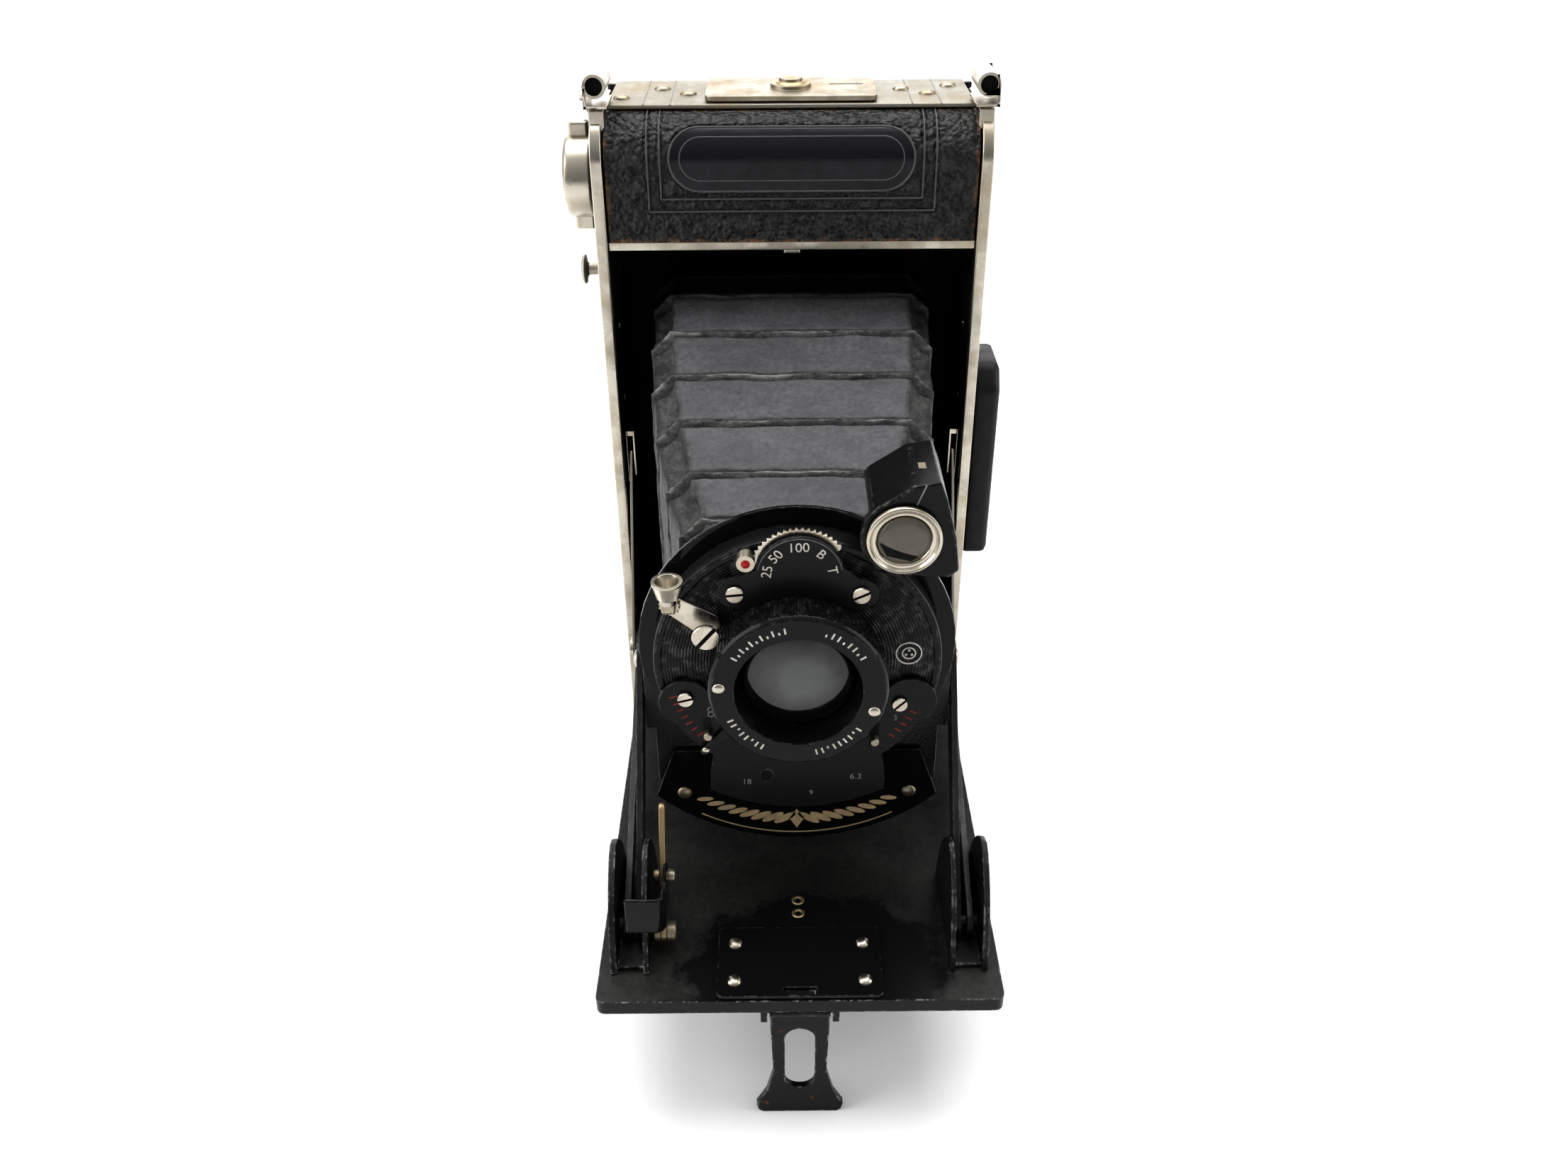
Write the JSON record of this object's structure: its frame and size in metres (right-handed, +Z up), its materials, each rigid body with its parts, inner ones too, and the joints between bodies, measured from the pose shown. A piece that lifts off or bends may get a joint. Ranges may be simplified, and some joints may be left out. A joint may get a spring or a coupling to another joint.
{
  "type": "folding roll-film camera",
  "caption": "Self-erecting folding camera: hinged bed with leg, leaf shutter on a strutted standard, tapered bellows, spool chambers, swivel finder.",
  "frame": {"origin": "centre of the body's flat bottom face, which rests on the table", "axes": "+Z up the body's length, -Y out of the lens along the open bed, +X to the right seen from the front"},
  "size_m": [0.0936, 0.1397, 0.1715],
  "materials": {
    "black_enamel": "gloss, worn at the edges",
    "crinkle_black": "fine crinkle, satin",
    "body_leather": "pebbled, edges worn brown",
    "bellows_leather": "fine grain, matt",
    "nickel": "warm nickel plate, lightly worn",
    "brass": "worn nickel over brass",
    "lens_glass": "polished",
    "red_glass": "polished",
    "spool_black": "satin"
  },
  "bodies": {
    "root": {"left_side_wall": "body_leather", "right_side_wall": "body_leather", "left_rim": "nickel", "right_rim": "nickel", "top_chamber_cover": "body_leather", "bottom_chamber_cover": "body_leather", "film_gate": "black_enamel", "top_plate": "nickel", "base_plate": "nickel", "left_strap_lug": "nickel", "right_strap_lug": "nickel", "carrying_handle": "body_leather", "left_pivot_bracket": "nickel", "right_pivot_bracket": "nickel", "bed_hinge_pin": "nickel", "back_hinge_pin": "nickel", "bellows": "bellows_leather"},
    "bed": {"bed": "black_enamel", "catch_plate": "black_enamel", "left_bed_bracket": "black_enamel", "right_bed_bracket": "black_enamel", "tripod_bush": "nickel"},
    "leg": {"table_leg": "black_enamel"},
    "arms": {"left_standard_arm": "crinkle_black", "right_standard_arm": "crinkle_black"},
    "standard": {"lens_standard": "crinkle_black", "name_plate": "black_enamel", "shutter_plate": "black_enamel", "shutter_case": "black_enamel", "rear_lens_cell": "black_enamel", "rear_lens": "lens_glass", "scale_plate": "black_enamel", "speed_plate": "black_enamel"},
    "struts": {"left_strut": "crinkle_black", "right_strut": "crinkle_black"},
    "links": {"left_link": "nickel", "right_link": "nickel"},
    "strut_release": {"strut_release": "brass"},
    "speed_dial": {"speed_dial": "nickel"},
    "release_lever": {"release_lever": "nickel"},
    "shutter_blade": {"shutter_blade": "brass"},
    "aperture": {"aperture_ring": "nickel"},
    "focusing": {"focusing_ring": "black_enamel", "front_lens": "lens_glass"},
    "finder": {"finder_body": "crinkle_black", "finder_ring": "nickel", "finder_lens": "lens_glass"},
    "winding": {"winding_key": "nickel", "take_up_spool": "spool_black"},
    "supply_spool": {"supply_spool": "spool_black"},
    "upper_roller": {"upper_roller": "nickel"},
    "lower_roller": {"lower_roller": "nickel"},
    "back_door": {"back_door": "body_leather", "red_window": "red_glass", "pressure_plate": "black_enamel", "pressure_spring": "brass"},
    "back_latch": {"back_latch": "nickel"},
    "door_button": {"door_button": "nickel"}
  },
  "joints": [
    {"name": "bed_fold", "type": "hinge", "parent": "root", "child": "bed", "pos_m": [0, -0.0165, 0.0315], "axis": [-1, 0, 0], "range_deg": [0, 90], "deforming": ["bellows"]},
    {"name": "arm_pivot", "type": "hinge", "parent": "bed", "child": "arms", "pos_m": [0, -0.106, 0.037], "axis": [-1, 0, 0], "range_deg": [0, 30.2]},
    {"name": "standard_pivot", "type": "hinge", "parent": "arms", "child": "standard", "pos_m": [0, -0.076, 0.077], "axis": [-1, 0, 0], "range_deg": [-120.2, 0]},
    {"name": "strut_pivot", "type": "hinge", "parent": "bed", "child": "struts", "pos_m": [0, -0.106, 0.037], "axis": [-1, 0, 0], "range_deg": [-4.5, 0]},
    {"name": "link_pivot", "type": "hinge", "parent": "root", "child": "links", "pos_m": [0, -0.013, 0.089], "axis": [-1, 0, 0], "range_deg": [-57.1, 0]},
    {"name": "leg_fold", "type": "hinge", "parent": "bed", "child": "leg", "pos_m": [0, -0.1195, 0.0284], "axis": [1, 0, 0], "range_deg": [0, 88]},
    {"name": "strut_release_press", "type": "hinge", "parent": "bed", "child": "strut_release", "pos_m": [-0.0252, -0.108, 0.037], "axis": [1, 0, 0], "range_deg": [0, 8], "stiffness_Nm_per_rad": 0.05},
    {"name": "speed_dial_turn", "type": "hinge", "parent": "standard", "child": "speed_dial", "pos_m": [0.0003, -0.0907, 0.105], "axis": [0, 1, 0], "range_deg": [0, 80]},
    {"name": "release_lever_press", "type": "hinge", "parent": "standard", "child": "release_lever", "pos_m": [-0.016, -0.0908, 0.0943], "axis": [0, -1, 0], "range_deg": [0, 12], "stiffness_Nm_per_rad": 0.03},
    {"name": "shutter_blade_swing", "type": "hinge", "parent": "standard", "child": "shutter_blade", "pos_m": [0.019, -0.0872, 0.0855], "axis": [0, 1, 0], "range_deg": [0, 40]},
    {"name": "aperture_turn", "type": "hinge", "parent": "standard", "child": "aperture", "pos_m": [0, -0.0916, 0.0855], "axis": [0, -1, 0], "range_deg": [0, 70]},
    {"name": "focus_turn", "type": "hinge", "parent": "standard", "child": "focusing", "pos_m": [0, -0.093, 0.0855], "axis": [0, 1, 0], "range_deg": [-120, 30]},
    {"name": "finder_swivel", "type": "hinge", "parent": "standard", "child": "finder", "pos_m": [0.0245, -0.088, 0.108], "axis": [0, 1, 0], "range_deg": [-12, 12]},
    {"name": "winding_key_turn", "type": "hinge", "parent": "root", "child": "winding", "pos_m": [-0.045, -0.0035, 0.1493], "axis": [1, 0, 0], "continuous": true},
    {"name": "supply_spool_turn", "type": "hinge", "parent": "root", "child": "supply_spool", "pos_m": [0, -0.0035, 0.0145], "axis": [1, 0, 0], "continuous": true},
    {"name": "upper_roller_turn", "type": "hinge", "parent": "root", "child": "upper_roller", "pos_m": [0, 0.0092, 0.1346], "axis": [1, 0, 0], "continuous": true},
    {"name": "lower_roller_turn", "type": "hinge", "parent": "root", "child": "lower_roller", "pos_m": [0, 0.0092, 0.0322], "axis": [1, 0, 0], "continuous": true},
    {"name": "back_door_hinge", "type": "hinge", "parent": "root", "child": "back_door", "pos_m": [0, 0.017, 0.0016], "axis": [-1, 0, 0], "range_deg": [0, 90]},
    {"name": "back_latch_slide", "type": "slide", "parent": "root", "child": "back_latch", "axis": [1, 0, 0], "range_m": [0, 0.003], "stiffness_N_per_m": 200},
    {"name": "door_button_press", "type": "slide", "parent": "root", "child": "door_button", "axis": [1, 0, 0], "range_m": [0, 0.0015], "stiffness_N_per_m": 300}
  ],
  "couplings": [
    {"joint": "arm_pivot", "follows": "bed_fold", "ratio": 0.3353},
    {"joint": "standard_pivot", "follows": "bed_fold", "ratio": -1.3353},
    {"joint": "strut_pivot", "follows": "bed_fold", "ratio": -0.0499},
    {"joint": "link_pivot", "follows": "bed_fold", "ratio": -0.6335},
    {"joint": "shutter_blade_swing", "follows": "release_lever_press", "ratio": 3.3}
  ]
}
